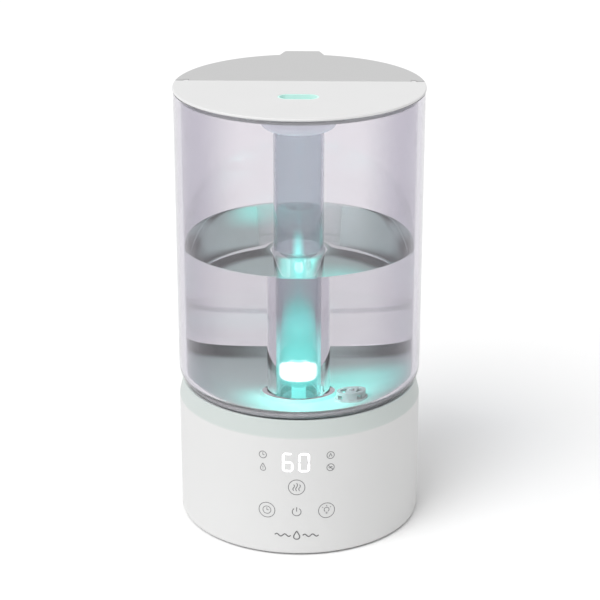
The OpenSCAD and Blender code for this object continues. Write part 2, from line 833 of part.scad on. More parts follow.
// Rear half of the lid: the filling flap, with its rolled front edge, lip and tab
module lid_flap() {
    tab_end = lid_r + tab_reach;
    root = tab_w / 2 + 4;
    color("lightgray") difference() {
        union() {
            intersection() {
                lid_disc(flap_low);
                translate([-far / 2, hinge_y, 0]) cube([far, far, far]);
            }
            intersection() {
                hinge_rod(knuckle_r, 2 * (tank_in_r - 1));
                translate([0, 0, flap_low - 5]) cylinder(r = tank_in_r - 1, h = far);
            }
            intersection() {
                tube(skirt_r - skirt_wall - 4, skirt_r - skirt_wall - 6, tank_top - 2, 2.5);
                translate([-far / 2, hinge_y + 4, 0]) cube([far, far, far]);
            }
            translate([0, 0, flap_low]) linear_extrude(overall_h - 0.1 - flap_low)
                polygon([[-root, lid_r - 4], [root, lid_r - 4], [tab_w / 2, tab_end - 1],
                         [tab_w / 2 - 1, tab_end], [1 - tab_w / 2, tab_end],
                         [-tab_w / 2, tab_end - 1]]);
        }
        for (s = [-1, 1])
            block(s * (lug_x + lug_w / 2), 0, flap_low - 5, [lug_w + 0.8, hinge_y + 2, 20]);
        at_pins(hinge_pin_d / 2 + shaft_gap, 1);
    }
}

// Steel pins held in the frame's lugs, that the flap turns on
module hinge_pins() {
    color("silver") at_pins(hinge_pin_d / 2, 0);
}

// Silicone ring round the skirt
module lid_seal() {
    color("lightgray") tube(tank_in_r - lift_gap, skirt_r + seat_gap, tank_top - skirt_h + 0.3,
                            skirt_h - lip_t - 0.3 - seat_gap);
}

// Cup under the lid that takes the pipe's top end
module mist_collar() {
    out = collar_d / 2;
    low = collar_low;
    top = tank_top - seat_gap;
    hole = pipe_r + lift_gap;
    color("gainsboro", 0.8) translate([0, pipe_y, 0]) rotate_extrude() polygon(concat(
        [[hole, low]],
        arc(out - collar_round, low + collar_round, collar_round, -90, 0, 6),
        [[out, top], [collar_bore_r, top], [collar_bore_r, low + 4.5],
         [collar_bore_r - 1.5, low + collar_wall], [hole, low + collar_wall]]
    ));
}

// Silicone ring between the collar and the pipe
module collar_seal() {
    color("silver") translate([0, pipe_y, 0])
        tube(collar_bore_r - seat_gap, pipe_r + lift_gap, collar_low + 4.6, 2);
}

// Insert that lines the mist slot
module mist_nozzle() {
    color("paleturquoise") translate([0, slot_y, 0]) difference() {
        translate([0, 0, tank_top - 5])
            oblong(slot_w + 2 * nozzle_wall, slot_d + 2 * nozzle_wall, lid_t + 5 - 0.1);
        translate([0, 0, tank_top - 6]) oblong(slot_w, slot_d, lid_t + 8);
    }
}

base_shell();
bottom_cover();
foot_ring();
cover_screws();
vent_grille();
vent_filter();
dc_jack();
main_board();
control_board();
display_module();
touch_springs();
humidity_sensor();
water_tray();
transducer_disc();
transducer_seal();
transducer_clamp();
clamp_screws();
driver_board();
heat_sink();
light_guide();
light_board();
level_float();
float_post();
valve_push_pin();
fan_housing();
fan_rotor();
fan_screws();
air_duct();
tank_shell();
mist_pipe();
pipe_nut();
valve_body();
valve_plunger();
valve_seal();
valve_spring();
lid_frame();
lid_flap();
hinge_pins();
lid_seal();
mist_collar();
collar_seal();
mist_nozzle();
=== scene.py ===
import math

import bpy
import numpy as np
from mathutils import Euler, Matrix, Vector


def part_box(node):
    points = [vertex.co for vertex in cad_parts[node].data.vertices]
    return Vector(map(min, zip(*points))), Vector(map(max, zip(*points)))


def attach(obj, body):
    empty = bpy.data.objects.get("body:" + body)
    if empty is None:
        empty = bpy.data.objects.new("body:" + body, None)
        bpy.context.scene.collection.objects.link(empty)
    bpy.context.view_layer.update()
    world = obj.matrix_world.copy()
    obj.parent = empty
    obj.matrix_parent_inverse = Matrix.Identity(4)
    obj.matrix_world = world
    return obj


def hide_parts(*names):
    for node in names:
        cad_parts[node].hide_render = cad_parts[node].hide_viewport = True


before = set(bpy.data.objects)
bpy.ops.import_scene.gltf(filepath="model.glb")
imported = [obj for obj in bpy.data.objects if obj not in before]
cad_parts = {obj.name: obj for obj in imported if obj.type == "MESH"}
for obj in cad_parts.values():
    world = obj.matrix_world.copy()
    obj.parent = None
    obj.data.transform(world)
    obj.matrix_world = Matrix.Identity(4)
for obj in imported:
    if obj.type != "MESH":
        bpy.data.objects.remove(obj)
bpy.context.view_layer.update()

# ---- stage: camera, lights, floor ----
# The object stands on a white sweep in a white room. One broad lamp at the upper left models
# the round body and lays a soft shadow to the right.
scene = bpy.context.scene
scene.view_settings.view_transform = "Standard"
scene.cycles.max_bounces = 28
scene.cycles.transmission_bounces = 26
scene.cycles.transparent_max_bounces = 24

camera_azimuth = math.radians(1.3)
camera_distance = 1.2440
camera_height = 0.6353
camera_pitch = math.radians(21.078)
camera_yaw = math.radians(-0.018)
camera_data = bpy.data.cameras.new("camera")
camera_data.sensor_width = 36.0
camera_data.lens = 114.15
camera = bpy.data.objects.new("camera", camera_data)
camera.location = (
    camera_distance * math.sin(camera_azimuth),
    -camera_distance * math.cos(camera_azimuth),
    camera_height,
)
camera.rotation_euler = Euler(
    (math.pi / 2 - camera_pitch, 0.0, camera_azimuth + camera_yaw), "XYZ"
)
scene.collection.objects.link(camera)
scene.camera = camera

sun_data = bpy.data.lights.new("key", "SUN")
sun_data.energy = 2.05
sun_data.angle = math.radians(38.0)
sun = bpy.data.objects.new("key", sun_data)
sun.rotation_euler = (math.radians(37.0), 0.0, math.radians(-42.0))
scene.collection.objects.link(sun)

world = bpy.data.worlds.new("studio")
world.use_nodes = True
world.node_tree.nodes["Background"].inputs["Color"].default_value = (1.0, 1.0, 1.0, 1.0)
world.node_tree.nodes["Background"].inputs["Strength"].default_value = 0.74
scene.world = world


# Sums and products of a shader's values are written as Python expressions on Wire, and every
# other node comes from Finish.node.
class Wire:
    """A socket of a shader's node tree. Arithmetic on it adds Math nodes."""

    def __init__(self, finish, socket):
        self.finish = finish
        self.socket = socket

    def maths(self, operation, *values):
        return self.finish.node("ShaderNodeMath", {"operation": operation}, *values)

    def __add__(self, other):
        return self.maths("ADD", self, other)

    __radd__ = __add__

    def __sub__(self, other):
        return self.maths("SUBTRACT", self, other)

    def __rsub__(self, other):
        return self.maths("SUBTRACT", other, self)

    def __mul__(self, other):
        return self.maths("MULTIPLY", self, other)

    __rmul__ = __mul__

    def __pow__(self, other):
        return self.maths("POWER", self, other)

    def __abs__(self):
        return self.maths("ABSOLUTE", self)

    def rise(self, start, end):
        """0 below start and 1 above end, with a smooth step between."""
        return self.finish.node(
            "ShaderNodeMapRange",
            {"interpolation_type": "SMOOTHSTEP"},
            Value=self,
            From_Min=start,
            From_Max=end,
        )


class Finish:
    """A material being written: a Principled shader and the nodes that feed it."""

    def __init__(self, name, colour, roughness, **constants):
        self.material = bpy.data.materials.new(name)
        self.material.use_nodes = True
        self.tree = self.material.node_tree
        self.shader = self.tree.nodes["Principled BSDF"]
        self.shader.inputs["Base Color"].default_value = (*colour, 1.0)
        self.shader.inputs["Roughness"].default_value = roughness
        for socket, value in constants.items():
            self.shader.inputs[socket.replace("_", " ")].default_value = value

    def node(self, kind, settings=None, *values, **named):
        """Adds a node of a kind, sets it, fills its sockets and gives its first output."""
        made = self.tree.nodes.new(kind)
        for key, value in (settings or {}).items():
            setattr(made, key, value)
        sockets = list(enumerate(values)) + [(k.replace("_", " "), v) for k, v in named.items()]
        for key, value in sockets:
            if isinstance(value, Wire):
                self.tree.links.new(value.socket, made.inputs[key])
            else:
                made.inputs[key].default_value = value
        return Wire(self, made.outputs[0])

    def place(self):
        """The point on the piece, in metres."""
        texture = self.tree.nodes.new("ShaderNodeTexCoord")
        return Wire(self, texture.outputs["Object"])

    def axes(self):
        """The point's x, y and z as three wires."""
        split = self.node("ShaderNodeSeparateXYZ", None, self.place())
        return [Wire(self, out) for out in split.socket.node.outputs]

    def noise(self, size, detail=2.0, stretch=(1.0, 1.0, 1.0)):
        """Soft noise from 0 to 1 whose features are about size metres across."""
        place = self.node("ShaderNodeMapping", {"vector_type": "POINT"}, self.place(), Scale=stretch)
        return self.node(
            "ShaderNodeTexNoise", None, Vector=place, Scale=1.0 / size, Detail=detail
        )

    def mix(self, share, low, high):
        """A colour between two colours."""
        blend = self.tree.nodes.new("ShaderNodeMix")
        blend.data_type = "RGBA"
        self.tree.links.new(share.socket, blend.inputs[0])
        for socket, value in ((blend.inputs[6], low), (blend.inputs[7], high)):
            if isinstance(value, Wire):
                self.tree.links.new(value.socket, socket)
            else:
                socket.default_value = (*value, 1.0)
        return Wire(self, blend.outputs[2])

    def feed(self, socket, wire):
        self.tree.links.new(wire.socket, self.shader.inputs[socket])
        return self

    def bump(self, height, depth):
        """Feeds a height from 0 to 1 into the normal, as a relief of some depth in metres."""
        relief = self.node("ShaderNodeBump", None, Strength=1.0, Distance=depth, Height=height)
        return self.feed("Normal", relief)

    def lets_light_in(self, tint):
        """Lamps reach what is behind the glass, through a tint."""
        nodes = self.tree.nodes
        path = nodes.new("ShaderNodeLightPath")
        clear = nodes.new("ShaderNodeBsdfTransparent")
        clear.inputs["Color"].default_value = (*tint, 1.0)
        mix = nodes.new("ShaderNodeMixShader")
        self.tree.links.new(path.outputs["Is Shadow Ray"], mix.inputs[0])
        self.tree.links.new(self.shader.outputs[0], mix.inputs[1])
        self.tree.links.new(clear.outputs[0], mix.inputs[2])
        self.tree.links.new(mix.outputs[0], nodes["Material Output"].inputs["Surface"])
        return self


sweep_mesh = bpy.data.meshes.new("sweep")
sweep_mesh.from_pydata([(-6, -3, 0), (6, -3, 0), (6, 12, 0), (-6, 12, 0)], [], [(0, 1, 2, 3)])
sweep = bpy.data.objects.new("sweep", sweep_mesh)
scene.collection.objects.link(sweep)
sweep_mesh.materials.append(Finish("sweep", (0.86, 0.86, 0.86), 0.9).material)


# ---- base housing ----
# A tall moulded shell in satin white ABS with a sloping shoulder. A grey cover closes it from
# below with four screws, and a rubber ring under the cover carries the object.
base_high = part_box("base_shell")[1]
wall_r = base_high.x
shoulder_low = base_high.z - 0.0130
shoulder_soft = 0.0020


def wear(node, material):
    """Gives a CAD node its material."""
    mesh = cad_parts[node].data
    mesh.materials.clear()
    mesh.materials.append(material)


def moulded(name, colour, roughness, grain=0.0005, relief=0.000004):
    """Moulded plastic: a fine even grain, and a gloss that varies a little from place to place."""
    finish = Finish(name, colour, roughness)
    cloud = finish.noise(0.03, 3.0)
    shade = [channel * 0.97 for channel in colour]
    finish.feed("Base Color", finish.mix(cloud, shade, colour))
    finish.feed("Roughness", cloud * 0.08 + (roughness - 0.04))
    finish.bump(finish.noise(grain, 1.0), relief)
    return finish


housing = moulded("housing_white", (0.625, 0.625, 0.622), 0.42)
x, y, z = housing.axes()
# The shoulder is painted darker and a little green: painted shade from the tank above it, and
# painted green-blue light spilling from the lamp.
shoulder_shade_and_glow = z.rise(shoulder_low, shoulder_low + shoulder_soft)
housing.feed("Base Color", housing.mix(shoulder_shade_and_glow, (0.625, 0.625, 0.622), (0.495, 0.535, 0.52)))
wear("base_shell", housing.material)
wear("bottom_cover", moulded("cover_grey", (0.42, 0.42, 0.43), 0.55, 0.0009, 0.00002).material)


def rubbery(name, colour):
    """Moulded rubber: dull, with a dusty bloom in soft patches."""
    finish = Finish(name, colour, 0.75)
    bloom = finish.noise(0.012, 3.0)
    finish.feed("Base Color", finish.mix(bloom, colour, [c + 0.05 for c in colour]))
    finish.feed("Roughness", bloom * 0.15 + 0.68)
    return finish.bump(finish.noise(0.0007, 2.0), 0.00002).material


rubber = rubbery("soft_rubber", (0.045, 0.045, 0.048))
for ring in ("foot_ring", "transducer_seal", "valve_seal"):
    wear(ring, rubber)


def brushed(name, colour, roughness, stretch=(1.0, 1.0, 14.0)):
    """Metal with fine scratches along one direction."""
    finish = Finish(name, colour, roughness, Metallic=1.0)
    scratch = finish.noise(0.006, 4.0, stretch)
    finish.feed("Roughness", scratch * 0.25 + (roughness - 0.1))
    finish.feed("Base Color", finish.mix(scratch, [c * 0.82 for c in colour], colour))
    return finish.bump(scratch, 0.00001).material


zinc = brushed("zinc_screw", (0.62, 0.63, 0.64), 0.32, (6.0, 6.0, 1.0))
for screws in ("cover_screws", "clamp_screws", "fan_screws"):
    wear(screws, zinc)

# The intake at the back is a white grille over a pad of open foam, beside the power socket.
wear("vent_grille", moulded("grille_white", (0.66, 0.66, 0.655), 0.5).material)
foam = Finish("foam_grey", (0.12, 0.125, 0.13), 0.95)
cells = foam.node("ShaderNodeTexVoronoi", None, Vector=foam.place(), Scale=900.0)
foam.feed("Base Color", foam.mix(cells, (0.03, 0.032, 0.035), (0.17, 0.175, 0.18)))
wear("vent_filter", foam.bump(cells, 0.0004).material)
black = moulded("black_plastic", (0.028, 0.028, 0.03), 0.4, 0.0006, 0.00001).material
for name in ("dc_jack", "display_module", "fan_housing"):
    wear(name, black)

# ---- front panel ----
# The wall over the panel is whole. The signs are printed on it in thin grey ink, and two
# figures of a lamp display shine through it.
panel_r = wall_r + 0.00006


def stroke(path, width):
    """A ribbon along a path in the panel's plane: each point p goes to p - n w / 2 and
    p + n w / 2, with n the path's unit normal and w the width there, in millimetres."""
    path = np.asarray(path, dtype=float)
    along = np.gradient(path, axis=0)
    along /= np.linalg.norm(along, axis=1)[:, None]
    normal = np.stack([-along[:, 1], along[:, 0]], axis=1)
    reach = normal * (np.broadcast_to(width, len(path)) / 2.0)[:, None]
    count = len(path)
    first = np.arange(count - 1)
    quads = np.stack([first, first + 1, first + 1 + count, first + count], axis=1)
    return np.concatenate([path - reach, path + reach]), quads


def circle(s, z, radius, width, start=0.0, end=360.0):
    """An arc of a circle about (s, z)."""
    turn = np.radians(np.linspace(start, end, 49))
    return stroke(np.stack([s + radius * np.cos(turn), z + radius * np.sin(turn)], 1), width)


def line(s0, z0, s1, z1, width):
    """A straight ribbon between two points."""
    return stroke(np.linspace([s0, z0], [s1, z1], 7), width)


def wave(s, z, length, height, turns, width, upright=False):
    """A sine wave about (s, z), along the panel or up it."""
    t = np.linspace(-0.5, 0.5, 41)
    swing = height * np.sin(2.0 * math.pi * turns * t)
    if upright:
        return stroke(np.stack([s + swing, z + length * t], 1), width)
    return stroke(np.stack([s + length * t, z + swing], 1), width)


def drop(s, z, height, width):
    """The outline of a water drop: across 0.46 h sin t sin(t / 2)^1.5, up 0.5 h cos t."""
    t = np.linspace(0.02, 2.0 * math.pi - 0.02, 49)
    across = 0.46 * height * np.sin(t) * np.sin(t / 2.0) ** 1.5
    return stroke(np.stack([s + across, z + 0.5 * height * np.cos(t)], 1), width)


def place_mesh(name, points, faces, material):
    """Makes an object at the origin from an array of points and an array of quads."""
    mesh = bpy.data.meshes.new(name)
    mesh.from_pydata(points.tolist(), [], faces.tolist())
    mesh.polygons.foreach_set("use_smooth", np.ones(len(faces), dtype=bool))
    mesh.materials.append(material)
    mesh.update()
    thing = bpy.data.objects.new(name, mesh)
    scene.collection.objects.link(thing)
    return thing


def on_wall(name, strokes, material):
    """Lays ribbons on the round wall: (s, z) goes to (R sin(s / R), -R cos(s / R), z)."""
    counts = np.cumsum([0] + [len(points) for points, quads in strokes])
    flat = np.concatenate([points for points, quads in strokes]) / 1000.0
    faces = np.concatenate([quads + skip for (points, quads), skip in zip(strokes, counts)])
    turn = flat[:, 0] / wall_r
    places = np.stack([panel_r * np.sin(turn), -panel_r * np.cos(turn), flat[:, 1]], axis=1)
    a, b, c = (places[faces[:, k]] for k in (0, 1, 2))
    facing = np.cross(b - a, c - a)
    inward = (facing * (a * (1.0, 1.0, 0.0))).sum(axis=1) < 0.0
    faces[inward] = faces[inward][:, ::-1]
    return place_mesh(name, places, faces, material)


hair = 0.42
signs = [
    circle(-23.2, 75.3, 2.55, hair),
    line(-23.2, 75.3, -23.2, 76.9, hair),
    line(-23.2, 75.3, -22.0, 75.3, hair),
    drop(-23.2, 66.2, 5.6, hair),
    line(-23.2, 66.9, -23.2, 65.4, hair),
    line(-23.2, 64.9, -23.2, 64.5, hair),
    circle(23.2, 75.3, 2.55, hair),
    line(22.1, 74.2, 23.2, 76.6, hair),
    line(23.2, 76.6, 24.3, 74.2, hair),
    circle(23.2, 66.2, 2.55, hair),
    line(21.5, 67.9, 24.9, 64.5, hair),
    wave(23.2, 66.2, 2.6, 0.5, 1.0, hair),
    circle(0.0, 52.3, 5.6, hair),
    wave(-2.0, 52.1, 4.6, 0.55, 1.0, 0.5, True),
    wave(0.0, 52.5, 6.0, 0.6, 1.0, 0.5, True),
    wave(2.0, 52.1, 4.6, 0.55, 1.0, 0.5, True),
    circle(-20.6, 33.9, 5.6, hair),
    circle(-20.6, 33.9, 2.8, hair),
    line(-20.6, 33.9, -20.6, 35.7, hair),
    line(-20.6, 33.9, -19.3, 33.9, hair),
    circle(0.0, 33.7, 3.0, 0.5, -235.0, 55.0),
    line(0.0, 33.9, 0.0, 37.2, 0.5),
    circle(20.6, 33.9, 5.6, hair),
    circle(20.6, 34.5, 1.7, hair, -55.0, 235.0),
    line(19.9, 32.4, 21.3, 32.4, hair),
    line(20.1, 31.6, 21.1, 31.6, hair),
    line(20.6, 37.0, 20.6, 37.9, hair),
    line(18.2, 36.0, 17.6, 36.6, hair),
    line(23.0, 36.0, 23.6, 36.6, hair),
    drop(0.0, 15.9, 6.4, 0.8),
    wave(-9.6, 15.6, 11.0, 0.9, 2.0, 0.8),
    wave(9.6, 15.6, 11.0, 0.9, 2.0, 0.8),
]
ink = Finish("panel_ink", (0.10, 0.10, 0.105), 0.5)
ink.feed("Base Color", ink.mix(ink.noise(0.0004, 1.0), (0.08, 0.08, 0.085), (0.15, 0.15, 0.155)))
panel_print = on_wall("panel_print", signs, ink.material)
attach(panel_print, "base")


def bar(s0, z0, s1, z1):
    """One lamp of a figure: an even bar that narrows to a blunt point at both ends."""
    path = np.linspace([s0, z0], [s1, z1], 9)
    return stroke(path, 1.3 * np.array([0.35, 0.9, 1, 1, 1, 1, 1, 0.9, 0.35]))


def figure(left, right, lamps):
    """A seven-lamp figure between two upright lines. Lamps are named a to g as usual."""
    low, middle, high, gap = 64.5, 70.85, 77.2, 0.35
    bars = {
        "a": (left + gap, high, right - gap, high),
        "b": (right, middle + gap, right, high - gap),
        "c": (right, low + gap, right, middle - gap),
        "d": (left + gap, low, right - gap, low),
        "e": (left, low + gap, left, middle - gap),
        "f": (left, middle + gap, left, high - gap),
        "g": (left + gap, middle, right - gap, middle),
    }
    return [bar(*bars[lamp]) for lamp in lamps]


lit = Finish("figure_light", (0.9, 0.9, 0.9), 0.4, Emission_Strength=1.25)
lit.feed("Emission Color", lit.mix(lit.noise(0.0008, 1.0), (0.93, 0.95, 0.96), (1.0, 1.0, 1.0)))
figures = figure(-9.1, -3.0, "acdefg") + figure(1.9, 8.3, "abcdef")
panel_figures = on_wall("panel_figures", figures, lit.material)
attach(panel_figures, "base")

# ---- boards and air ----
# The boards are green laminate with copper tracks. The fan draws air in at the back and
# pushes it through a short duct into the mist well.
laminate = Finish("board_green", (0.015, 0.11, 0.045), 0.35)
tracks = laminate.node(
    "ShaderNodeTexBrick",
    {"offset": 0.37},
    Vector=laminate.place(),
    Scale=260.0,
    Mortar_Size=0.035,
    Color1=(0.0, 0.0, 0.0, 1.0),
    Color2=(0.15, 0.15, 0.15, 1.0),
    Mortar=(1.0, 1.0, 1.0, 1.0),
)
laminate.feed("Base Color", laminate.mix(tracks, (0.012, 0.10, 0.04), (0.05, 0.24, 0.10)))
laminate.bump(tracks, 0.00004)
for board in ("main_board", "control_board", "humidity_sensor", "driver_board", "light_board"):
    wear(board, laminate.material)
steel = brushed("spring_steel", (0.66, 0.66, 0.67), 0.25, (4.0, 4.0, 1.0))
for name in ("touch_springs", "valve_spring", "hinge_pins"):
    wear(name, steel)
aluminium = brushed("aluminium", (0.70, 0.71, 0.72), 0.38)
wear("heat_sink", aluminium)
wear("fan_rotor", moulded("fan_grey", (0.11, 0.11, 0.115), 0.45).material)
wear("air_duct", moulded("duct_plastic", (0.56, 0.57, 0.57), 0.5).material)

# ---- tray, valve pin and float ----
# The white tray is the deck the tank stands on. It is moulded with the mist well and the
# supply well, and water beads lie on it.
tray = moulded("tray_white", (0.72, 0.72, 0.71), 0.35)
damp = tray.noise(0.009, 3.0).rise(0.5, 0.62)
tray.feed("Roughness", 0.42 - damp * 0.3)
for name in ("water_tray", "float_post", "valve_push_pin", "pipe_nut", "valve_body"):
    wear(name, tray.material)
float_white = moulded("float_white", (0.76, 0.76, 0.75), 0.5, 0.0012, 0.00003).material
for name in ("level_float", "valve_plunger"):
    wear(name, float_white)

# ---- transducer ----
# A plated ceramic disc, with a frosted ring and a bright middle, held up by a metal ring.
disc_low, disc_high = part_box("transducer_disc")
pipe_y = (disc_low.y + disc_high.y) / 2.0
disc = Finish("disc_metal", (0.78, 0.74, 0.62), 0.3, Metallic=1.0)
x, y, z = disc.axes()
from_middle = (x * x + (y - pipe_y) * (y - pipe_y)) ** 0.5
disc.feed("Roughness", 0.45 - from_middle.rise(0.0055, 0.006) * 0.25 + disc.noise(0.002) * 0.1)
wear("transducer_disc", disc.material)
wear("transducer_clamp", aluminium)

# ---- lamp and lit mist ----
# A clear acrylic light guide stands in the pipe's foot and glows green-blue. It lights the
# mist in the pipe, which is shown as thin nested skins that fade towards the top.
guide = Finish("light_guide", (0.75, 0.98, 0.94), 0.25, Emission_Strength=1.0)
x, y, z = guide.axes()
head_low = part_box("light_guide")[1].z - 0.0120
shine = z.rise(head_low - 0.0015, head_low + 0.0005)
guide.feed("Emission Color", guide.mix(shine, (0.05, 0.42, 0.36), (6.0, 7.5, 7.2)))
guide.bump(guide.noise(0.001, 1.0), 0.00001)
wear("light_guide", guide.material)


def ring_grid(rings, around):
    """Quads between neighbouring rings of points. The last ring joins the first."""
    i, j = np.meshgrid(np.arange(rings), np.arange(around), indexing="ij")
    after, beside = (i + 1) % rings, (j + 1) % around
    corners = (i * around + j, i * around + beside, after * around + beside, after * around + j)
    return np.stack(corners, axis=-1).reshape(-1, 4)


def rings_body(name, rings, material, around=256):
    """A closed body from rings of (radius, height, centre y), each a level circle round
    (0, centre y). The last ring joins the first, as on a ring or a pipe. The section's
    signed area, the sum of (r z' - r' z) / 2, tells which way round faces outward."""
    turn = np.linspace(0.0, 2.0 * math.pi, around, endpoint=False)
    radius, height, centre = np.asarray(rings).T
    area = (radius * np.roll(height, -1) - np.roll(radius, -1) * height).sum() / 2.0
    if area < 0.0:
        return rings_body(name, np.asarray(rings)[::-1], material, around)
    points = np.stack(
        [
            np.outer(radius, np.cos(turn)),
            centre[:, None] + np.outer(radius, np.sin(turn)),
            np.repeat(height[:, None], around, axis=1),
        ],
        axis=-1,
    ).reshape(-1, 3)
    return place_mesh(name, points, ring_grid(len(radius), around), material)


skin_low, skin_tall, skin_r = 0.105, 0.118, 0.0138
needle_r = 0.00002
plume_z = 0.157


def lit_skin(name, share, thickness):
    """One skin of the lit mist. Its radius is share (1 - u^3) 13.8 mm, with u from 0 at the
    foot to 1 at the top, and it rounds off to a needle at the foot as sin(8 pi u)."""
    finish = Finish(name, (0.0, 0.0, 0.0), 1.0, Emission_Strength=1.0, IOR=1.0)
    x, y, z = finish.axes()
    fade = 1.0 - z.rise(0.148, 0.176)
    whisper = 1.0 - z.rise(0.16, 0.222)
    peak = 1.0 - abs(z - plume_z).rise(0.002, 0.016)
    finish.feed("Emission Color", finish.mix(peak, (0.13, 0.66, 0.59), (0.27, 1.25, 1.12)))
    wisps = finish.noise(0.02, 2.0, (1.0, 1.0, 0.4)) * 0.5 + 0.75
    finish.feed("Alpha", (fade * 0.94 + whisper * 0.06) * wisps * thickness)
    up = np.linspace(0.0, 1.0, 40)
    radius = share * skin_r * np.sin(np.pi * np.minimum(up * 8.0, 0.5)) * (1.0 - up**3)
    height = skin_low + skin_tall * up
    rings = np.stack([np.maximum(radius, needle_r), height, np.full(len(up), pipe_y)], axis=1)
    piece = rings_body(name, rings, finish.material, 96)
    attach(piece, "tank")


for number, share in enumerate((1.0, 0.84, 0.68, 0.52, 0.36, 0.2)):
    lit_skin(f"mist_glow_{number}", share, 0.3)

lamp_data = bpy.data.lights.new("foot_lamp", "POINT")
lamp_data.color = (0.25, 1.0, 0.88)
lamp_data.energy = 0.12
lamp_data.shadow_soft_size = 0.006
foot_lamp = bpy.data.objects.new("foot_lamp", lamp_data)
foot_lamp.location = (0.0, pipe_y - 0.008, head_low + 0.008)
scene.collection.objects.link(foot_lamp)

# ---- tank ----
# A thick clear tumbler with a rounded lower corner, moulded with a faint violet tint. Towards its
# left and right sides the tint is painted darker, a painted shade for the curved walls seen edge on.
# It is drawn with the pipe's hole only, and the valve's barrel stands through its floor.
tank_low, tank_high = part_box("tank_shell")
tank_wall = 0.005
tank_r = tank_high.x
tank_in_r = tank_r - tank_wall
tank_low_z, tank_top_z = tank_low.z, tank_high.z
tank_floor_z = tank_low_z + tank_wall
corner_r = 0.016
clear = Finish("tank_clear", (0.86, 0.837, 0.868), 0.0, Transmission_Weight=1.0, IOR=1.47)
x, y, z = clear.axes()
# Painted shade: the tint darkens towards the left and right sides.
painted_side_shade = abs(x).rise(0.040, 0.079)
clear.feed("Base Color", clear.mix(painted_side_shade, (0.85, 0.83, 0.86), (0.63, 0.61, 0.67)))
clear.lets_light_in((0.86, 0.85, 0.88))


def slid(start, end, height, count):
    """Rings from one circle to another at one height, with the centre sliding along:
    (radius, centre y) goes straight from start to end."""
    share = np.linspace(0.0, 1.0, count)[:, None]
    radius, centre = (np.array(start) * (1.0 - share) + np.array(end) * share).T
    return np.stack([radius, np.full(count, height), centre], axis=1)


def upright(radius, low, high, centre, count=6, edge=0.0004):
    """Rings up a straight wall, with close rings near both ends so that it shades flat."""
    inner = np.linspace(low + edge, high - edge, count)
    height = np.concatenate([[low, low + edge * 0.5], inner, [high - edge * 0.5, high]])
    return np.stack([np.full(len(height), radius), height, np.full(len(height), centre)], axis=1)


def corner(radius, centre_r, centre_z, start, end, count=24):
    """Rings along an arc of a circle in the plane of radius and height, angles in degrees."""
    turn = np.radians(np.linspace(start, end, count))
    across = centre_r + radius * np.cos(turn)
    return np.stack([across, centre_z + radius * np.sin(turn), np.zeros(count)], axis=1)


lip_r = 0.0006
edge_gap = 0.0002
hole_r = 0.0171
bend_r = tank_r - corner_r
bend_z = tank_low_z + corner_r
tank_rings = np.concatenate(
    [
        slid((hole_r + edge_gap, pipe_y), (bend_r, 0.0), tank_floor_z, 24),
        corner(corner_r - tank_wall, bend_r, bend_z, -88.0, 0.0),
        upright(tank_in_r, bend_z + 0.0005, tank_top_z - lip_r - edge_gap, 0.0)[1:],
        corner(lip_r, tank_in_r + lip_r, tank_top_z - lip_r, 180.0, 90.0, 5),
        corner(lip_r, tank_r - lip_r, tank_top_z - lip_r, 90.0, 0.0, 5),
        upright(tank_r, bend_z + 0.0005, tank_top_z - lip_r - edge_gap, 0.0)[::-1],
        corner(corner_r, bend_r, bend_z, 0.0, -90.0),
        slid((bend_r - 0.0005, 0.0), (hole_r + edge_gap, pipe_y), tank_low_z, 24),
        upright(hole_r, tank_low_z + edge_gap, tank_floor_z - edge_gap, pipe_y, 2, 0.0003),
    ]
)
tank = rings_body("tank_tumbler", tank_rings, clear.material)
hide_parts("tank_shell")
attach(tank, "tank")

# ---- mist pipe ----
# A clear pipe from the tank's floor up into the cup under the lid, clamped by its flange.
pipe_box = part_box("mist_pipe")
pipe_low, pipe_high = pipe_box[0].z, pipe_box[1].z
flange_r = pipe_box[1].y - pipe_y
flange_low, flange_high = tank_floor_z + edge_gap / 2.0, tank_floor_z + 0.0022
pipe_out = flange_r - 0.003
pipe_in = pipe_out - 0.002
smoky = Finish(
    "pipe_clear",
    (0.76, 0.81, 0.84),
    0.0,
    Transmission_Weight=1.0,
    IOR=1.47,
    Emission_Strength=1.0,
)
x, y, z = smoky.axes()
wet = smoky.noise(0.05, 2.0, (1.0, 1.0, 0.25))
smoky.feed("Base Color", smoky.mix(wet, (0.69, 0.74, 0.775), (0.76, 0.80, 0.83)))
smoky.lets_light_in((0.8, 0.86, 0.87))

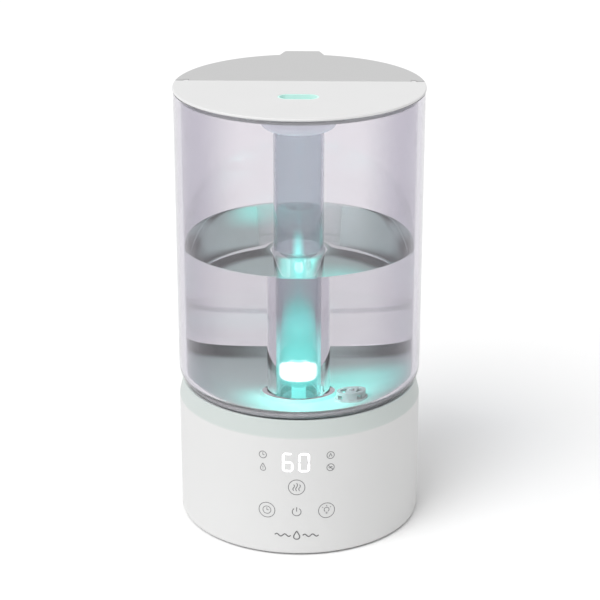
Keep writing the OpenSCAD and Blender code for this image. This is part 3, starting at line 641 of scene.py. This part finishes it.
# The lamp's light is painted on the pipe's front wall as a white pill, |98 x|^4 + |150 (z -
# patch_z)|^4 < 1, in a painted green-blue bloom, and as a faint painted beam over the water.
patch_z = 0.1228
across, up = x * 98.0, (z - patch_z) * 150.0
patch = across * across * across * across + up * up * up * up
front = 1.0 - y.rise(pipe_y - 0.004, pipe_y)
spot = (1.0 - patch.rise(0.45, 1.7)) * front
bloom = ((x * x) * 1.3 + (z - 0.128) * (z - 0.128)) ** 0.5
beam = (1.0 - abs(x).rise(0.0, 0.005)) * (1.0 - z.rise(0.204, 0.225)) * z.rise(0.2015, 0.203)
halo = ((1.0 - bloom.rise(0.006, 0.040)) * 0.42 + beam * 0.5) * front
smoky.feed(
    "Emission Color",
    smoky.mix(spot, smoky.mix(halo, (0.0, 0.0, 0.0), (0.10, 0.85, 0.74)), (1.5, 1.6, 1.6)),
)
pipe_rings = np.concatenate(
    [
        upright(pipe_out, flange_high + edge_gap, pipe_high - edge_gap, pipe_y),
        [[pipe_out - edge_gap, pipe_high, pipe_y], [pipe_in + edge_gap, pipe_high, pipe_y]],
        upright(pipe_in, pipe_low + edge_gap, pipe_high - edge_gap, pipe_y)[::-1],
        [[pipe_in + edge_gap, pipe_low, pipe_y], [pipe_out - edge_gap, pipe_low, pipe_y]],
        upright(pipe_out, pipe_low + edge_gap, flange_low - edge_gap, pipe_y, 2),
        [[flange_r - edge_gap, flange_low, pipe_y], [flange_r, flange_low + edge_gap, pipe_y]],
        [[flange_r, flange_high - 0.0003, pipe_y], [flange_r - edge_gap, flange_high, pipe_y]],
        [[pipe_out + 0.0003, flange_high, pipe_y]],
    ]
)
pipe = rings_body("mist_pipe_clear", pipe_rings, smoky.material, 160)
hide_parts("mist_pipe")
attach(pipe, "tank")

# ---- water ----
# Half a tank of clean water. It creeps up a little at the wall and more round the pipe, and the
# tank's frosted floor shows through it. The lamp's green-blue light on the floor and on the
# water's surface is painted, and the floor is painted near black by the rim at the rear as shade.
water_level = 0.2024
water_floor = tank_floor_z + 0.0002
water_out = tank_in_r - 0.0003
hole, flange_hole = pipe_out + 0.0003, flange_r + 0.0005
turn_r = corner_r - 0.0053
floor_count = 30
water = Finish(
    "water",
    (0.72, 0.735, 0.74),
    0.0,
    Transmission_Weight=1.0,
    IOR=1.333,
    Emission_Strength=1.0,
)
x, y, z = water.axes()
surface = z.rise(water_level - 0.001, water_level - 0.0002)
mark_z = 0.134
mark = (1.0 - abs(z - mark_z).rise(0.0008, 0.0030)) * y.rise(0.02, 0.04) * 0.6
sides = water.mix(mark, (0.80, 0.80, 0.81), (0.30, 0.30, 0.33))
water.feed("Base Color", water.mix(surface, sides, (0.78, 0.83, 0.82)))
# Painted light: a green-blue glow on the water's surface in front of the pipe, for the lamp's light.
lamp_patch = (1.0 - abs(x).rise(0.0085, 0.0145)) * (1.0 - y.rise(-0.046, -0.038)) * surface
shimmer = water.noise(0.012, 2.0) * 0.4 + 0.8
water.feed("Emission Color", water.mix(lamp_patch * shimmer, (0.0, 0.0, 0.0), (0.05, 0.46, 0.40)))
water.lets_light_in((0.88, 0.93, 0.92))
wet_floor_painted_light = Finish("wet_floor_painted_light", (0.5, 0.58, 0.55), 0.35, Emission_Strength=1.0)
x, y, z = wet_floor_painted_light.axes()
from_axis = (x * x + y * y) ** 0.5
# Painted shade: the floor goes nearly black near the rim at the rear.
rear = y.rise(-0.01, 0.02) * (abs(x).rise(0.005, 0.035) * 0.75 + 0.25)
rim_painted_shade = from_axis.rise(0.063, 0.073) * rear
wet_floor_painted_light.feed("Base Color", wet_floor_painted_light.mix(rim_painted_shade, (0.52, 0.60, 0.57), (0.01, 0.012, 0.015)))
# Painted light: a green-blue glow pooled in front of the pipe and a second pool to its right, dimmed
# near the rim.
spread = ((x - 0.006) ** 2.0 + (y + 0.040) ** 2.0) ** 0.5
aside = ((x - 0.027) ** 2.0 + (y * 0.8) ** 2.0) ** 0.5
pool = 1.0 - spread.rise(0.010, 0.052)
spill = 1.0 - aside.rise(0.008, 0.046)
dim_rim = 1.0 - from_axis.rise(0.052, 0.070) * 0.85
glow = (pool * 1.1 + spill * 0.8) * dim_rim * (wet_floor_painted_light.noise(0.018, 2.0) * 0.5 + 0.75)
wet_floor_painted_light.feed("Emission Color", wet_floor_painted_light.mix(glow, (0.0, 0.0, 0.0), (0.16, 0.86, 0.74)))
wet_floor_painted_light.feed("Roughness", wet_floor_painted_light.noise(0.01) * 0.2 + 0.25)


def water_rings():
    """Rings from the pipe's side, out over the surface, down the wall, round the corner, in
    over the floor and up the pipe. The surface rises in exp(-d / 2.2 mm) towards the pipe
    and in exp(-d / 0.8 mm) towards the wall."""
    share = np.linspace(0.0, 1.0, 110)
    ease = share - np.sin(2.0 * math.pi * share) / (2.0 * math.pi) * 0.85
    radius = hole + (water_out - hole) * ease
    by_pipe = 0.0017 * np.exp(-(radius - hole) / 0.0022)
    by_wall = 0.0005 * np.exp(-(water_out - radius) / 0.0008)
    top = np.stack([radius, water_level + by_pipe + by_wall, pipe_y * (1.0 - ease)], axis=1)
    wall = upright(water_out, water_floor + turn_r, water_level + 0.0002, 0.0)[::-1]
    bend = corner(turn_r, water_out - turn_r, water_floor + turn_r, 0.0, -90.0)[1:]
    start = (water_out - turn_r - 0.0005, 0.0)
    low = slid(start, (flange_hole, pipe_y), water_floor, floor_count)
    step_z = water_floor + 0.0024
    step = [
        [flange_hole, step_z - 0.0002, pipe_y],
        [flange_hole - 0.0003, step_z, pipe_y],
        [hole + 0.0003, step_z, pipe_y],
    ]
    up = upright(hole, step_z + 0.0003, water_level + 0.0012, pipe_y)
    return np.concatenate([top, wall, bend, low, step, up]), len(top) + len(wall), len(bend)


# The floor's faces take the second material: the lower part of the bend and the flat beyond.
water_around = 256
rings, before_bend, bend_count = water_rings()
tank_water = rings_body("tank_water", rings[::-1], water.material, water_around)
tank_water.data.materials.append(wet_floor_painted_light.material)
ring_of_face = len(rings) - 1 - np.arange(len(rings)).repeat(water_around)
floor_start = before_bend + bend_count * 0.3
floor_end = before_bend + bend_count + floor_count + 1
floor_faces = (ring_of_face > floor_start) & (ring_of_face <= floor_end)
tank_water.data.polygons.foreach_set("material_index", floor_faces.astype(np.int32))
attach(tank_water, "tank")

# ---- lid ----
# The front half is fixed and white, and the rear half is a grey filling flap on two pins.
# Under the front half a frosted cup takes the pipe's end, and a green insert lines the slot; the
# insert carries a painted green-blue glow, strongest low down, for the lamp's light from below.
wear("lid_frame", moulded("lid_white", (0.665, 0.665, 0.665), 0.5).material)
wear("lid_flap", moulded("flap_grey", (0.475, 0.475, 0.475), 0.5).material)
silicone = Finish("seal_silicone", (0.72, 0.73, 0.74), 0.6)
silicone.bump(silicone.noise(0.001, 2.0), 0.00001)
silicone.feed("Roughness", silicone.noise(0.01) * 0.2 + 0.5)
wear("lid_seal", silicone.material)
wear("collar_seal", silicone.material)
frost = Finish("collar_frost", (0.86, 0.85, 0.89), 0.5, Emission_Strength=1.0)
frost.bump(frost.noise(0.0012, 2.0), 0.00003)
frost.feed("Base Color", frost.mix(frost.noise(0.02), (0.83, 0.82, 0.87), (0.90, 0.89, 0.92)))
frost.feed("Alpha", frost.noise(0.02) * 0.1 + 0.6)
# Painted light: the collar has a faint glow of its own, which brightens it in the shade under the
# lid.
frost.feed("Emission Color", frost.mix(frost.noise(0.01), (0.19, 0.19, 0.21), (0.25, 0.25, 0.28)))
frost.lets_light_in((0.6, 0.6, 0.62))
wear("mist_collar", frost.material)
teal = Finish("nozzle_teal", (0.55, 0.74, 0.69), 0.35, Emission_Strength=0.22)
teal.feed("Base Color", teal.mix(teal.noise(0.01), (0.52, 0.76, 0.70), (0.60, 0.82, 0.76)))
x, y, z = teal.axes()
nozzle_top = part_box("mist_nozzle")[1].z
# Painted light: the insert glows green-blue, most strongly low down.
lit_low = z.rise(nozzle_top - 0.0077, nozzle_top - 0.0001)
teal.feed("Emission Color", teal.mix(lit_low, (0.2, 0.95, 0.82), (0.30, 0.55, 0.50)))
wear("mist_nozzle", teal.material)
